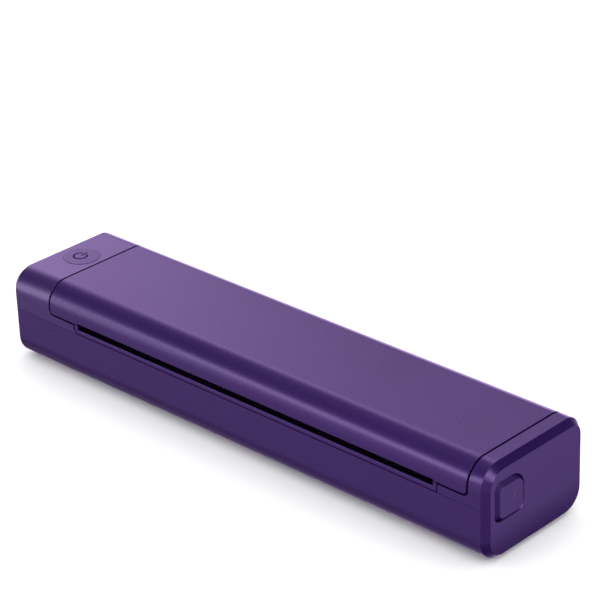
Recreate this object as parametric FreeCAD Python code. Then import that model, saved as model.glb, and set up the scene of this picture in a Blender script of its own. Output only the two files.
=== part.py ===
import FreeCAD, Part
import math
import os

V = FreeCAD.Vector

# ---------------------------------------------------------------------------
# Portable thermal stencil printer: a long rounded box with a rear-hinged cover,
# a paper slot along the front and a release button on the right end.
# Frame: +X along the length (right end positive), -Y front, +Z up.
# Origin: centre of the bounding box on the plane that the feet stand on.
# All sizes in millimetres.
# ---------------------------------------------------------------------------

# outer body
X_EDGE = 144.0            # half length between the outer edges of the end chamfers
CH_X = 3.2                # chamfer of the end caps, along X
CH_IN = 2.65              # chamfer of the end caps, inwards
HALF_D = 32.3             # half depth (front at -HALF_D)
Z_BOT = 0.6               # underside of the lower casing
Z_TOP = 46.2              # top surface
R_TF, R_TB = 11.0, 8.4    # top-front and top-back corner radii
R_BF, R_BB = 11.5, 12.0   # bottom-front and bottom-back corner radii
WALL = 2.0
R_EDGE = 0.15             # small rounding of the visible moulded edges
R_CROWN, Z_CROWN = 180.0, 16.0  # the end caps curve in below this height

# parting lines of the casing
Z_PART = 27.0             # lower casing to upper frame
XS1, XS2 = -119.9, 136.86  # centre lines of the cover's two side seams
SEAM = 0.95               # width of a seam round the cover
Z_TAB = 31.85             # lower edge of the cover's front tabs
Z_SLOT_TOP = 32.5         # lower edge of the cover above the paper slot
Z_SLOT_BOT = 29.3         # top of the slot's lip
XP1, XP2 = -100.3, 118.6  # ends of the paper slot
XB1, XB2 = -102.5, 120.35  # ends of the slot's bezel
G_BZ1, G_BZ2 = 0.85, 0.55  # gaps at the left and right ends of the bezel
R_TABC = 1.9              # rounded lower corners of the cover
Z_SKIRT = 30.2            # lower edge of the cover at the back

# cover hinge
YH, ZH = 28.3, 31.7
R_PIN = 1.5

# platen roller and its gear train (module 0.5 involute teeth)
YP, ZP = -14.0, 36.1
R_PLATEN = 6.0
R_SHAFT = 2.0
MOD = 0.5
N_PLATEN, N_SMALL, N_LARGE, N_PINION = 28, 16, 32, 12
V_ANGLE = math.radians(-72.0)   # direction from the reduction gear to the pinion

# print head
YHP, ZHP = 4.0, 25.0      # pivot axis of the head
Z_HEAD = 29.85            # top of the heater line

# buttons
X_PB, Y_PB, R_PB = -131.7, 0.0, 8.95
G_PB, H_PB = 0.1, 0.15   # gap round the power button, and how far it stands out
Y_RB, Z_RB = -17.7, 28.9
W_RB, T_RB = 18.6, 18.6   # width and height of the release button
H_RB, D_RB = 0.15, 1.45   # how far it stands out, and the depth of its bevel
B_RB, C_RB, S_RB = 3.2, 3.45, 0.3   # width of its bevel in front, above, and behind and below
R_RB = (3.5, 4.0, 8.0, 3.75)  # corner radii of its outline: below in front, below behind, above behind, above in front
G_RB, E_RB = 0.15, 0.55   # gap round it, and the bevel of its hole below and behind

# casing screws: (x, y)
CASE_SCREWS = [(x, y) for x in (-60.0, 25.0, 105.0) for y in (-24.0, 20.0)]
SPRING_X = (-70.0, 9.0, 90.0)
SPRING_Y = -16.0


# ---------------------------------------------------------------------------
# small builders
# ---------------------------------------------------------------------------
def box(x0, x1, y0, y1, z0, z1):
    return Part.makeBox(x1 - x0, y1 - y0, z1 - z0, V(x0, y0, z0))


def cx(x0, x1, y, z, r):
    return Part.makeCylinder(r, x1 - x0, V(x0, y, z), V(1, 0, 0))


def cz(x, y, z0, z1, r):
    return Part.makeCylinder(r, z1 - z0, V(x, y, z0), V(0, 0, 1))


def union(shapes):
    s = shapes[0]
    if len(shapes) > 1:
        s = s.fuse(shapes[1:])
    return s.removeSplitter()


def outline(x, inset=0.0):
    """The body's rounded cross-section as a wire in the plane X = x."""
    y0, y1 = -HALF_D + inset, HALF_D - inset
    z0, z1 = Z_BOT + inset, Z_TOP - inset
    bf, bb = R_BF - inset, R_BB - inset
    tf, tb = R_TF - inset, R_TB - inset
    k = math.sqrt(0.5)

    def p(y, z):
        return V(x, y, z)

    def arc(a, m, b):
        return Part.Arc(a, m, b).toShape()

    def seg(a, b):
        return Part.LineSegment(a, b).toShape()

    e = [
        seg(p(y0 + bf, z0), p(y1 - bb, z0)),
        arc(p(y1 - bb, z0), p(y1 - bb + bb * k, z0 + bb - bb * k), p(y1, z0 + bb)),
        seg(p(y1, z0 + bb), p(y1, z1 - tb)),
        arc(p(y1, z1 - tb), p(y1 - tb + tb * k, z1 - tb + tb * k), p(y1 - tb, z1)),
        seg(p(y1 - tb, z1), p(y0 + tf, z1)),
        arc(p(y0 + tf, z1), p(y0 + tf - tf * k, z1 - tf + tf * k), p(y0, z1 - tf)),
        seg(p(y0, z1 - tf), p(y0, z0 + bf)),
        arc(p(y0, z0 + bf), p(y0 + bf - bf * k, z0 + bf - bf * k), p(y0 + bf, z0)),
    ]
    return Part.Wire(e)


def body(x0, x1, inset=0.0):
    return Part.Face(outline(x0, inset)).extrude(V(x1 - x0, 0, 0))


def poly_x(x0, x1, pts):
    """Prism along X over a polygon of (y, z) points."""
    w = Part.makePolygon([V(x0, y, z) for y, z in pts] + [V(x0, pts[0][0], pts[0][1])])
    return Part.Face(w).extrude(V(x1 - x0, 0, 0))


def rrect_wire(plane, at, u0, u1, v0, v1, r):
    """Rounded rectangle; r is one radius or (u0v0, u1v0, u1v1, u0v1)."""
    if not isinstance(r, (tuple, list)):
        r = (r, r, r, r)
    k = 1.0 - math.sqrt(0.5)

    def p(u, v):
        if plane == "x":
            return V(at, u, v)
        if plane == "y":
            return V(u, at, v)
        return V(u, v, at)

    corners = [(u0, v0, 1, 1), (u1, v0, -1, 1), (u1, v1, -1, -1), (u0, v1, 1, -1)]
    ends = []
    for (u, v, su, sv), rr in zip(corners, r):
        a = (u, v + sv * rr)
        b = (u + su * rr, v)
        m = (u + su * rr * k, v + sv * rr * k)
        ends.append((a, m, b, rr))
    # walk counter-clockwise: corner 0 in at a, out at b; the others alternate
    order = []
    for i, (a, m, b, rr) in enumerate(ends):
        order.append((a, m, b, rr) if i % 2 == 0 else (b, m, a, rr))
    edges = []
    for i in range(4):
        a, m, b, rr = order[i]
        if rr > 1e-6:
            edges.append(Part.Arc(p(*a), p(*m), p(*b)).toShape())
        nxt = order[(i + 1) % 4][0]
        if math.hypot(nxt[0] - b[0], nxt[1] - b[1]) > 1e-6:
            edges.append(Part.LineSegment(p(*b), p(*nxt)).toShape())
    return Part.Wire(edges)


def rrect(plane, a0, a1, u0, u1, v0, v1, r):
    w = rrect_wire(plane, a0, u0, u1, v0, v1, r)
    d = {"x": V(a1 - a0, 0, 0), "y": V(0, a1 - a0, 0), "z": V(0, 0, a1 - a0)}[plane]
    return Part.Face(w).extrude(d)


def inv(a):
    return math.tan(a) - a


def gear(x0, x1, yc, zc, n, phase, backlash=0.10):
    """Involute spur gear, 20 degree pressure angle, one tooth centred on the phase angle."""
    r = MOD * n / 2.0
    rb = r * math.cos(math.radians(20.0))
    ra = r + 0.92 * MOD
    rf = r - 1.2 * MOD
    half = math.pi / (2 * n) - backlash / (2 * r)
    a20 = inv(math.radians(20.0))

    def th(rr):
        if rr <= rb:
            return half + a20
        return half + a20 - inv(math.acos(rb / rr))

    lo = max(rb, rf)
    radii = [lo + (ra - lo) * t for t in (0.0, 0.35, 0.7, 1.0)]
    if rf < rb:
        radii = [rf] + radii
    pts = []
    for i in range(n):
        c = phase + 2 * math.pi * i / n
        for rr in radii:
            pts.append((rr, c - th(rr)))
        for rr in reversed(radii):
            pts.append((rr, c + th(rr)))
    q = [(yc + rr * math.cos(a), zc + rr * math.sin(a)) for rr, a in pts]
    return poly_x(x0, x1, q)


def coil(x, y, z0, z1, r_mean, r_wire, turns):
    """Round-wire compression spring standing along Z."""
    h = (z1 - z0) - 2 * r_wire
    helix = Part.makeHelix(h / turns, h, r_mean)
    circ = Part.Wire([Part.makeCircle(r_wire, V(r_mean, 0, 0), V(0, 1, 0))])
    s = Part.Wire(helix.Edges).makePipeShell([circ], True, True)
    s.translate(V(x, y, z0 + r_wire))
    return s


def coil_x(x0, x1, y, z, r_mean, r_wire, turns):
    s = coil(0, 0, 0, x1 - x0, r_mean, r_wire, turns)
    s.rotate(V(0, 0, 0), V(0, 1, 0), 90)
    s.translate(V(x0, y, z))
    return s


def on_skin(e, x=None, tol=0.02):
    """True if the whole edge lies on the body's outer surface (and in the plane X = x)."""
    skin = SKIN
    for t in (0.0, 0.31, 0.5, 0.77, 1.0):
        q = e.valueAt(e.FirstParameter + (e.LastParameter - e.FirstParameter) * t)
        if x is not None and abs(q.x - x) > tol:
            return False
        if skin.distToShape(Part.Vertex(q))[0] > tol:
            return False
    return True


def soften(shape, r, pick):
    """Rounds the picked edges; the radius drops until the chain closes."""
    edges = [e for e in shape.Edges if pick(e)]
    for f in (1.0, 0.8, 0.6):
        try:
            out = shape.makeFillet(r * f, edges)
            if out.isValid() and len(out.Solids) == len(shape.Solids):
                return out
        except Exception:
            pass
    print("not softened:", len(edges), "edges")
    return shape


def lead(pts, r, bends):
    """Round insulated wire: straight runs joined by tangent arcs of the given radii."""
    pts = [V(*p) for p in pts]
    edges, last, length = [], pts[0], 0.0
    for p, q, n, b in zip(pts, pts[1:], pts[2:], bends):
        d0, d1 = (q - p).normalize(), (n - q).normalize()
        half = d0.getAngle(d1) / 2
        t = b * math.tan(half)
        a, c = q - d0 * t, q + d1 * t
        m = q + (d1 - d0).normalize() * (b / math.cos(half) - b)
        edges += [Part.LineSegment(last, a).toShape(), Part.Arc(a, m, c).toShape()]
        length += (a - last).Length + 2 * half * b
        last = c
    edges.append(Part.LineSegment(last, pts[-1]).toShape())
    length += (pts[-1] - last).Length
    circ = Part.Wire([Part.makeCircle(r, pts[0], (pts[1] - pts[0]).normalize())])
    s = Part.Wire(edges).makePipeShell([circ], True, False)
    print("lead: length %.1f, bends %s, volume ratio %.4f" % (length, bends, s.Volume / (length * math.pi * r * r)))
    return s


parts = {}


# ---------------------------------------------------------------------------
# lower casing: tray with screw columns, spring seats, board stand-offs and latch guides
# ---------------------------------------------------------------------------
Z_FLOOR = Z_BOT + WALL
FEET = [(-122.0, -15.5), (-122.0, 14.0), (122.0, -15.5), (122.0, 14.0)]
BOARD_SCREWS = [(-136.0, 8.5), (-136.0, 20.5), (-24.0, 8.5), (-24.0, 20.5)]
PEGS = [(-97.0, -16.0), (-97.0, -4.0)]

SKIN = Part.makeShell([f for f in body(-X_EDGE - 20, X_EDGE + 20).Faces
                       if abs(f.normalAt(0.5, 0.5).x) < 0.5])
shell = body(-X_EDGE, X_EDGE).cut(body(-X_EDGE - 1, X_EDGE + 1, WALL))
lower = shell.common(box(-X_EDGE, X_EDGE, -40, 40, 0, Z_PART))
# fine shadow line where the upper frame meets the casing
rim = body(-X_EDGE - 1, X_EDGE + 1, -0.5).cut(body(-X_EDGE - 2, X_EDGE + 2, 0.6))
lower = lower.cut(rim.common(box(-X_EDGE - 1, X_EDGE + 1, -40, 40, Z_PART - 0.16, Z_PART + 1)))
add = []
for x, y in CASE_SCREWS:
    add.append(cz(x, y, Z_BOT + 1.0, 25.0, 2.8).common(body(x - 4, x + 4, 0.8)))
for x in SPRING_X:
    add.append(cz(x, SPRING_Y, Z_FLOOR - 0.5, 12.0, 4.2))
    add.append(cz(x, SPRING_Y, 11.0, 15.5, 2.2))
for x, y in BOARD_SCREWS:
    add.append(cz(x, y, Z_FLOOR - 0.5, 5.0, 2.4))
for x, y in PEGS:
    add.append(cz(x, y, Z_FLOOR - 0.5, 5.0, 1.4))
for x in (-80.0, 0.0, 80.0):
    add.append(box(x - 4, x + 4, -30.6, -27.3, 16.6, 17.7))
add.append(box(-121.4, -119.4, -30.6, -26.2, 17.8, 24.2))   # stop for the latch's return spring
lower = union([lower] + add)
cuts = []
for x, y in CASE_SCREWS:
    cuts.append(cz(x, y, 0, 12.0, 2.3))
    cuts.append(cz(x, y, 11.0, 26.0, 1.35))
for x, y in BOARD_SCREWS:
    cuts.append(cz(x, y, Z_FLOOR - 0.2, 6.0, 0.9))
for x, y in FEET:
    cuts.append(cz(x, y, 0, Z_BOT + 0.8, 4.55))
for x in (-92.0, -84.0, -76.0):          # vent slots in the floor under the motor and board
    for y in (-9.0, -3.0):
        cuts.append(rrect("z", 0, 3.2, x - 2.6, x + 2.6, y - 0.8, y + 0.8, 0.79))
lower = lower.cut(cuts)
parts["lower_casing"] = lower

parts["rubber_feet"] = Part.makeCompound([cz(x, y, 0.0, Z_BOT + 0.8, 4.5) for x, y in FEET])

parts["casing_screws"] = Part.makeCompound([
    union([cz(x, y, 10.2, 12.0, 2.1), cz(x, y, 11.9, 26.6, 1.2)]).cut(
        union([box(x - 1.3, x + 1.3, y - 0.3, y + 0.3, 10.0, 11.0),
               box(x - 0.3, x + 0.3, y - 1.3, y + 1.3, 10.0, 11.0)]))
    for x, y in CASE_SCREWS])

# ---------------------------------------------------------------------------
# upper frame: left block, right block, front strips and the paper deck, one moulding
# ---------------------------------------------------------------------------
XF1, XF2 = XS1 - SEAM / 2, XS2 + SEAM / 2     # the frame's edges beside the cover
XC1, XC2 = XS1 + SEAM / 2, XS2 - SEAM / 2     # the cover's own edges
Z_STRIP = Z_TAB - SEAM                        # top of the front strips

upper = shell.common(box(-X_EDGE, X_EDGE, -40, 40, Z_PART, 60))
front_cut = rrect("y", -40, 0, XF1, XF2, Z_STRIP, 80, R_TABC + SEAM)
rear_cut = box(XF1, XF2, 0, 40, Z_PART - 1, 80)
bezel_cut = rrect("y", -40, -20, XB1 - G_BZ1, XB2 + G_BZ2, Z_PART, 40, (2.0, 0.0, 0.0, 0.0))
upper = upper.cut([front_cut, rear_cut, bezel_cut])
side_l = body(XF1 - 1.5, XF1).common(box(-200, 200, -40, 40, Z_PART, 60))
side_r = body(XF2, XF2 + 2.0).common(box(-200, 200, -40, 40, Z_PART, 60))
skirt_l = body(XF1 - 2.0, XF1, WALL + 0.2).common(box(-200, 200, -40, 40, 25.0, Z_PART))
skirt_r = body(XF2, XF2 + 2.0, WALL + 0.2).common(box(-200, 200, -40, 40, 25.0, Z_PART))
deck = box(XF1 - 2.0, XF2 + 2.0, -30.1, 30.1, 25.0, Z_PART)
backing = [box(XF1, XB1 - 0.6, -30.4, -28.9, 25.0, 30.4), box(XB2 + 0.6, XF2, -30.4, -28.9, 25.0, 30.4)]
backing = [b.cut(box(-200, 200, -40, -30.1, 20, Z_PART)) for b in backing]
bosses = [cx(-123.5, XF1 - 1.0, YH, ZH, 3.5), cx(XF2 + 1.0, 140.8, YH, ZH, 3.5)]
lugs = [box(-105.8, -103.4, 1.0, 7.0, 21.5, 26.0), box(121.4, 123.8, 1.0, 7.0, 21.5, 26.0)]
BTN_SCREWS = [(-138.5, -12.0), (-138.5, 12.0)]
btn_bosses = [cz(x, y, 37.7, Z_TOP - 1.0, 2.4) for x, y in BTN_SCREWS]
upper = union([upper, side_l, side_r, skirt_l, skirt_r, deck] + backing + bosses + btn_bosses)
cuts = [
    box(-103.4, 121.4, -21.5, 8.0, 20, 30),              # print head window
    box(-119.0, -105.8, -23.0, -3.5, 20, 30),            # gear window
    box(-112.2, -106.8, -28.2, -22.4, 20, 30),           # left catch window
    box(119.8, 125.4, -28.2, -22.4, 20, 30),             # right catch window
    box(-3.7, 3.7, 12.3, 17.7, 20, 30),                  # paper sensor window
    cx(-124.0, XF1 + 1, YH, ZH, R_PIN),
    cx(XF2 - 1, 141.0, YH, ZH, R_PIN),
    cz(X_PB, Y_PB, 43.0, 50.0, R_PB + G_PB),             # power button hole
]
for x, y in CASE_SCREWS:
    cuts.append(cz(x, y, 24.0, 26.6, 1.2))
for x, y in BTN_SCREWS:
    cuts.append(cz(x, y, 37.0, 42.0, 0.9))
upper = upper.cut(cuts)
ribs = []
for x in (-96.0, -72.0, -48.0, -24.0, 24.0, 48.0, 72.0, 96.0, 114.0):
    ribs.append(poly_x(x - 0.7, x + 0.7, [(29.4, 26.6), (29.4, 27.2), (22.0, 28.2), (9.0, 29.0), (8.4, 28.6), (8.4, 26.6)]))
    ribs.append(poly_x(x - 0.7, x + 0.7, [(-27.6, 26.6), (-27.6, 28.6), (-22.6, 28.8), (-22.0, 28.2), (-22.0, 26.6)]))
upper = union([upper] + lugs + ribs)
upper = upper.cut([cx(-106.5, -103.0, YHP, ZHP, R_PIN), cx(121.0, 124.5, YHP, ZHP, R_PIN)])
upper = soften(upper, R_EDGE, lambda e: on_skin(e) and e.BoundBox.ZMax > Z_PART + 0.01
               and abs(abs(e.BoundBox.XMax + e.BoundBox.XMin) / 2 - X_EDGE) > 0.01
               and not (e.BoundBox.ZMin > 33.0 and e.BoundBox.YLength < 1e-3 and e.BoundBox.ZLength < 1e-3)
               and not (e.BoundBox.ZMin > Z_TOP - 0.01 and abs(e.CenterOfMass.x - X_PB) < 1.0 and abs(e.CenterOfMass.y) < 1.0))
parts["upper_frame"] = upper

# ---------------------------------------------------------------------------
# end caps: chamfered plates with a spigot inside the tube of the casing
# ---------------------------------------------------------------------------
def end_cap(s):
    plate = Part.makeLoft([outline(s * X_EDGE), outline(s * (X_EDGE + 1.1 * CH_X), 1.1 * CH_IN)], True, True)
    # the outer face is flat above Z_CROWN and curves in very slightly below it
    xe, xc = s * (X_EDGE + CH_X), s * (X_EDGE + CH_X - R_CROWN)

    def on(z):
        return V(xc + s * math.sqrt(R_CROWN ** 2 - (z - Z_CROWN) ** 2), -40, z)

    side = [Part.Arc(on(-4.0), on(Z_CROWN / 2 - 2.0), V(xe, -40, Z_CROWN)).toShape()]
    pts = [V(xe, -40, Z_CROWN), V(xe, -40, 60), V(s * 120.0, -40, 60), V(s * 120.0, -40, -4.0), on(-4.0)]
    side += [Part.LineSegment(a, b).toShape() for a, b in zip(pts, pts[1:])]
    plate = plate.common(Part.Face(Part.Wire(side)).extrude(V(0, 80, 0)))
    a, b = sorted((s * (X_EDGE - 2.6), s * (X_EDGE + 0.5)))
    spig = body(a, b, WALL + 0.15).cut(body(a - 1, b + 1, WALL + 1.15))
    c = union([plate, spig])
    xf = s * (X_EDGE + CH_X)
    return soften(c, R_EDGE, lambda e: abs(e.BoundBox.XMin - xf) < 1e-4 and abs(e.BoundBox.XMax - xf) < 1e-4)


XE = X_EDGE + CH_X


def key_wire(x, off, more=0.0):
    """Outline of the release button, grown by off, and by more below and behind, in the plane X = x."""
    radii = [r + off + more * k for r, k in zip(R_RB, (0.5, 1.0, 0.5, 0.0))]
    return rrect_wire("x", x, Y_RB - W_RB / 2 - off, Y_RB + W_RB / 2 + off + more, Z_RB - T_RB / 2 - off - more, Z_RB + T_RB / 2 + off, radii)


cap_r = end_cap(1)
cap_r = cap_r.cut([Part.Face(key_wire(143.0, G_RB)).extrude(V(6, 0, 0)),
                   Part.makeLoft([key_wire(XE - 0.45, G_RB - 0.05), key_wire(XE + 0.1, G_RB - 0.05, E_RB)], True, True)])   # hole, bevelled below and behind
parts["right_end_cap"] = cap_r

Y_USB, Z_USB = 14.5, 8.4
cap_l = end_cap(-1)
cap_l = cap_l.cut(rrect("x", -149.0, -143.0, Y_USB - 4.75, Y_USB + 4.75, Z_USB - 1.9, Z_USB + 1.9, 1.85))
parts["left_end_cap"] = cap_l

# ---------------------------------------------------------------------------
# slot bezel: a thin U of lip and end posts with an inner flange that sits on the deck
# ---------------------------------------------------------------------------
bez = rrect("y", -HALF_D, -30.0, XB1, XB2, Z_PART + 0.42, Z_TAB - 0.3, (1.7, 0.0, 0.0, 0.0))
bez = bez.cut(rrect("y", -40, -20, XP1, XP2, Z_SLOT_BOT, 40, 0.0))
flange = box(XB1 + 0.6, XB2 - 0.6, -30.0, -28.4, Z_PART, 28.5)
bez = union([bez, flange])
lip = [e for e in bez.Edges
       if e.BoundBox.XLength > 200 and abs(e.BoundBox.YMin + HALF_D) < 1e-4 and abs(e.BoundBox.ZMin - Z_SLOT_BOT) < 1e-4]
bez = bez.makeFillet(0.45, lip)
parts["paper_exit_bezel"] = bez

# ---------------------------------------------------------------------------
# top cover: the hinged shell, with end walls and hinge lugs
# ---------------------------------------------------------------------------
fo = rrect("y", -40, 0, XC1, XC2, Z_TAB, 80, R_TABC)
fo = fo.cut(box(XP1, XP2, -40, 0, Z_TAB - 1, Z_SLOT_TOP))
ro = rrect("y", 0, 40, XC1, XC2, Z_SKIRT, 80, (1.5, 1.5, 0, 0))
zone = fo.fuse(ro)
cover_shell = shell.common(zone)
ends = []
for a, b in ((XC1, XC1 + 2.0), (XC2 - 2.0, XC2)):
    w = body(a, b, 0.5).common(box(a, b, -40, 40, 35.4, 60))
    ends.append(w)
for a, b in ((XC1, XC1 + 5.6), (XC2 - 5.6, XC2)):
    ends.append(cx(a, b, YH, ZH, 3.4))
    ends.append(body(a, b, 0.5).common(box(a, b, 25.2, 40, ZH, 42.0)))
cover = union([cover_shell] + ends)
COVER_SCREWS = [(-84.0, 14.0), (-12.0, 14.0), (60.0, 14.0), (105.0, 14.0), (-84.0, -2.0), (105.0, -2.0)]
cover = cover.cut([cx(XC1 - 1, XC1 + 7, YH, ZH, R_PIN + 0.05), cx(XC2 - 7, XC2 + 1, YH, ZH, R_PIN + 0.05)]
                  + [cz(x, y, 43.0, 45.4, 1.0) for x, y in COVER_SCREWS])
cover = soften(cover, R_EDGE, lambda e: e.BoundBox.ZMin > Z_SKIRT - 0.01 and on_skin(e)
               and not (e.BoundBox.XLength > 200 and e.BoundBox.ZMin > 33.0))
parts["top_cover"] = cover

parts["hinge_pin_left"] = cx(-123.3, -113.9, YH, ZH, R_PIN)
parts["hinge_pin_right"] = cx(131.2, 140.6, YH, ZH, R_PIN)

# inner frame of the cover: bearing plates for the platen, catches, guide ribs
XL0, XL1 = -109.6, -107.6
XR0, XR1 = 122.6, 124.6
inner = body(-130, 140, WALL + 0.25)
frame = [box(XL0, XR1, -19.0, 24.0, 42.8, Z_TOP - WALL)]
for a, b in ((XL0, XL1), (XR0, XR1)):
    frame.append(poly_x(a, b, [(-27.0, 33.4), (-21.0, 31.2), (-7.5, 31.2), (-2.5, 37.0), (24.0, 39.5), (24.0, 46.0), (-27.0, 46.0)]))
    frame.append(box(a, b, -27.0, -23.5, 20.0, 35.0))
    frame.append(poly_x(a - 1.6, a + 0.2, [(-27.0, 22.1), (-27.0, 20.6), (-26.4, 20.0), (-24.1, 20.0), (-23.5, 20.6), (-23.5, 22.1)]))
for x in (-98.0, -72.0, -48.0, -24.0, 0.0, 24.0, 48.0, 72.0, 94.0, 116.0):
    frame.append(poly_x(x - 0.7, x + 0.7, [(-5.0, 36.6), (22.0, 36.6), (23.0, 38.0), (23.0, 43.5), (-6.0, 43.5), (-6.0, 37.6)]))
frame = union(frame).common(inner)
frame = frame.cut([cx(XL0 - 1, XL1 + 1, YP, ZP, 3.6), cx(XR0 - 1, XR1 + 1, YP, ZP, 3.6)]
                  + [cz(x, y, 40.0, 47.0, 1.1) for x, y in COVER_SCREWS])
parts["platen_frame"] = frame
parts["cover_screws"] = Part.makeCompound([
    union([cz(x, y, 41.6, 42.8, 1.9), cz(x, y, 42.7, 45.3, 1.0)]).cut(
        union([box(x - 1.1, x + 1.1, y - 0.25, y + 0.25, 41.0, 42.2),
               box(x - 0.25, x + 0.25, y - 1.1, y + 1.1, 41.0, 42.2)]))
    for x, y in COVER_SCREWS])

# ---------------------------------------------------------------------------
# platen roller, its bushings and its gear
# ---------------------------------------------------------------------------
shaft = union([cx(-117.0, 126.6, YP, ZP, R_SHAFT), cx(-101.5, 119.8, YP, ZP, 4.0)])
groove = cx(125.2, 125.8, YP, ZP, 3.0).cut(cx(125.0, 126.0, YP, ZP, 1.6))
parts["platen_shaft"] = shaft.cut(groove)
parts["platen_rubber"] = cx(-101.5, 119.8, YP, ZP, R_PLATEN).cut(cx(-102.0, 120.5, YP, ZP, 4.0))
clip = cx(125.25, 125.75, YP, ZP, 3.4).cut([cx(125.0, 126.0, YP, ZP, 1.6), box(125.0, 126.0, YP - 1.3, YP + 1.3, ZP - 5, ZP)])
parts["platen_clip"] = clip


def bushing(x0, x1, f0, f1):
    b = union([cx(x0, x1, YP, ZP, 3.6), cx(f0, f1, YP, ZP, 4.6)])
    return b.cut(cx(x0 - 2, x1 + 2, YP, ZP, R_SHAFT + 0.04))


parts["platen_bushing_left"] = bushing(XL0, XL1 + 0.5, XL1, XL1 + 0.8)
parts["platen_bushing_right"] = bushing(XR0 - 0.5, XR1, XR0 - 0.8, XR0)

r_pl, r_sm, r_lg, r_pi = (MOD * n / 2 for n in (N_PLATEN, N_SMALL, N_LARGE, N_PINION))
# the line of centres is square to the line from the hinge to the mesh point, so the
# platen's teeth draw straight out of the reduction gear as the cover lifts
dyp, dzp = YP - YH, ZP - ZH
U_ANGLE = math.atan2(dzp, dyp) + math.acos(-r_pl / math.hypot(dyp, dzp))
YG = YP + (r_pl + r_sm) * math.cos(U_ANGLE)
ZG = ZP + (r_pl + r_sm) * math.sin(U_ANGLE)
YM = YG + (r_lg + r_pi) * math.cos(V_ANGLE)
ZM = ZG + (r_lg + r_pi) * math.sin(V_ANGLE)
print("platen", YP, ZP, "reduction gear", round(YG, 4), round(ZG, 4), "motor", round(YM, 4), round(ZM, 4))

pg = gear(-116.4, -112.6, YP, ZP, N_PLATEN, U_ANGLE)
parts["platen_gear"] = pg.cut(cx(-118, -110, YP, ZP, R_SHAFT + 0.01))

rg = union([gear(-116.4, -112.4, YG, ZG, N_SMALL, U_ANGLE + math.pi + math.pi / N_SMALL),
            gear(-112.4, -110.2, YG, ZG, N_LARGE, V_ANGLE),
            cx(-110.3, -107.7, YG, ZG, 2.8)])
rg = rg.cut(cx(-118, -107, YG, ZG, R_PIN + 0.05))
parts["reduction_gear"] = rg

# ---------------------------------------------------------------------------
# motor, bracket, pinion
# ---------------------------------------------------------------------------
R_MOT = 9.0
XBK0, XBK1 = -107.2, -106.0
bracket = box(XBK0, XBK1, -25.6, 5.0, 2.6, 24.6).common(body(-110, -100, WALL + 0.02))
foot = box(XBK1 - 0.2, -92.0, -20.0, 0.0, 2.6, 3.8)
bracket = union([bracket, foot])
bracket = bracket.cut([cx(-108, -105, YM, ZM, 3.05), cx(-108, -105, YG, ZG, R_PIN),
                       box(-108, -105, -26, -22.6, 15.6, 25), box(-108, -105, YG + 3.2, 7, 22.0, 25)]
                      + [cx(-108, -105, YM + d, ZM, 0.95) for d in (-11.0, 11.0)]
                      + [cz(x, y, 2, 5, 1.4) for x, y in PEGS])
ear = poly_x(XBK0, XBK1, [(YG - 3.6, 24.4), (YG + 3.2, 24.4), (YG + 2.6, ZG + 2.4), (YG - 2.6, ZG + 2.4)])
ear = ear.cut(cx(-108, -105, YG, ZG, R_PIN))
bracket = union([bracket, ear]).cut(cx(-108, -105, YG, ZG, R_PIN))
parts["motor_bracket"] = bracket

ear_plate = rrect("x", XBK1, XBK1 + 0.9, YM - 14.0, YM + 14.0, ZM - 3.0, ZM + 3.0, 2.99)
motor = union([cx(XBK1, -92.0, YM, ZM, R_MOT), ear_plate, cx(XBK0 - 0.2, XBK1 + 0.1, YM, ZM, 3.0),
               box(-98.0, -93.0, YM + 8.0, YM + 11.5, ZM - 4.0, ZM + 4.0)])
motor = motor.cut([cx(XBK0 - 1, -96.0, YM, ZM, 1.05)]
                  + [cx(XBK1 - 1, XBK1 + 2, YM + d, ZM, 1.0) for d in (-11.0, 11.0)])
parts["stepper_motor"] = motor
parts["motor_screws"] = Part.makeCompound([
    union([cx(XBK1 + 0.9, XBK1 + 2.1, YM + d, ZM, 1.8), cx(XBK0 - 0.4, XBK1 + 1.0, YM + d, ZM, 0.95)]).cut(
        box(XBK1 + 1.6, XBK1 + 3, YM + d - 1.2, YM + d + 1.2, ZM - 0.25, ZM + 0.25))
    for d in (-11.0, 11.0)])
parts["motor_shaft"] = cx(-113.2, -96.2, YM, ZM, 1.0)
parts["motor_pinion"] = gear(-112.7, -109.9, YM, ZM, N_PINION, V_ANGLE + math.pi + math.pi / N_PINION).cut(
    cx(-114, -109, YM, ZM, 1.0))
stud = cx(-117.6, XBK1, YG, ZG, R_PIN)
stud = stud.cut(cx(-117.15, -116.65, YG, ZG, 2.5).cut(cx(-118, -116, YG, ZG, 1.15)))
parts["gear_stud"] = stud
parts["gear_clip"] = cx(-117.1, -116.7, YG, ZG, 3.0).cut([cx(-118, -116, YG, ZG, 1.15),
                                                         box(-118, -116, YG - 0.95, YG + 0.95, ZG, ZG + 4)])

# ---------------------------------------------------------------------------
# print head: heat sink that pivots on two pins, ceramic with the heater line, drivers, connector
# ---------------------------------------------------------------------------
sink = [box(-103.0, 121.0, -20.5, 2.2, 24.7, 28.2)]
for a, b in ((-103.0, -100.5), (118.5, 121.0)):
    sink.append(cx(a, b, YHP, ZHP, 2.7))
    sink.append(box(a, b, 1.0, YHP, 23.6, 27.7))
sink = union(sink)
sink = sink.cut([box(-98.0, 116.0, y, y + 1.4, 24.0, 26.2) for y in (-12.2, -9.4, -6.6)]
                + [cx(-104, -100, YHP, ZHP, R_PIN + 0.05), cx(118, 122, YHP, ZHP, R_PIN + 0.05)])
parts["head_heat_sink"] = sink
ceramic = box(-102.0, 120.0, -19.5, -5.5, 28.2, 29.2)
ridge = cx(-101.0, 119.0, YP, Z_HEAD - 1.4, 1.4).common(box(-101.0, 119.0, -20, -5, 28.6, 31))
parts["print_head_ceramic"] = union([ceramic, ridge])
drv = box(-92.0, 110.0, -11.0, -6.8, 29.2, 29.75)
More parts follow.
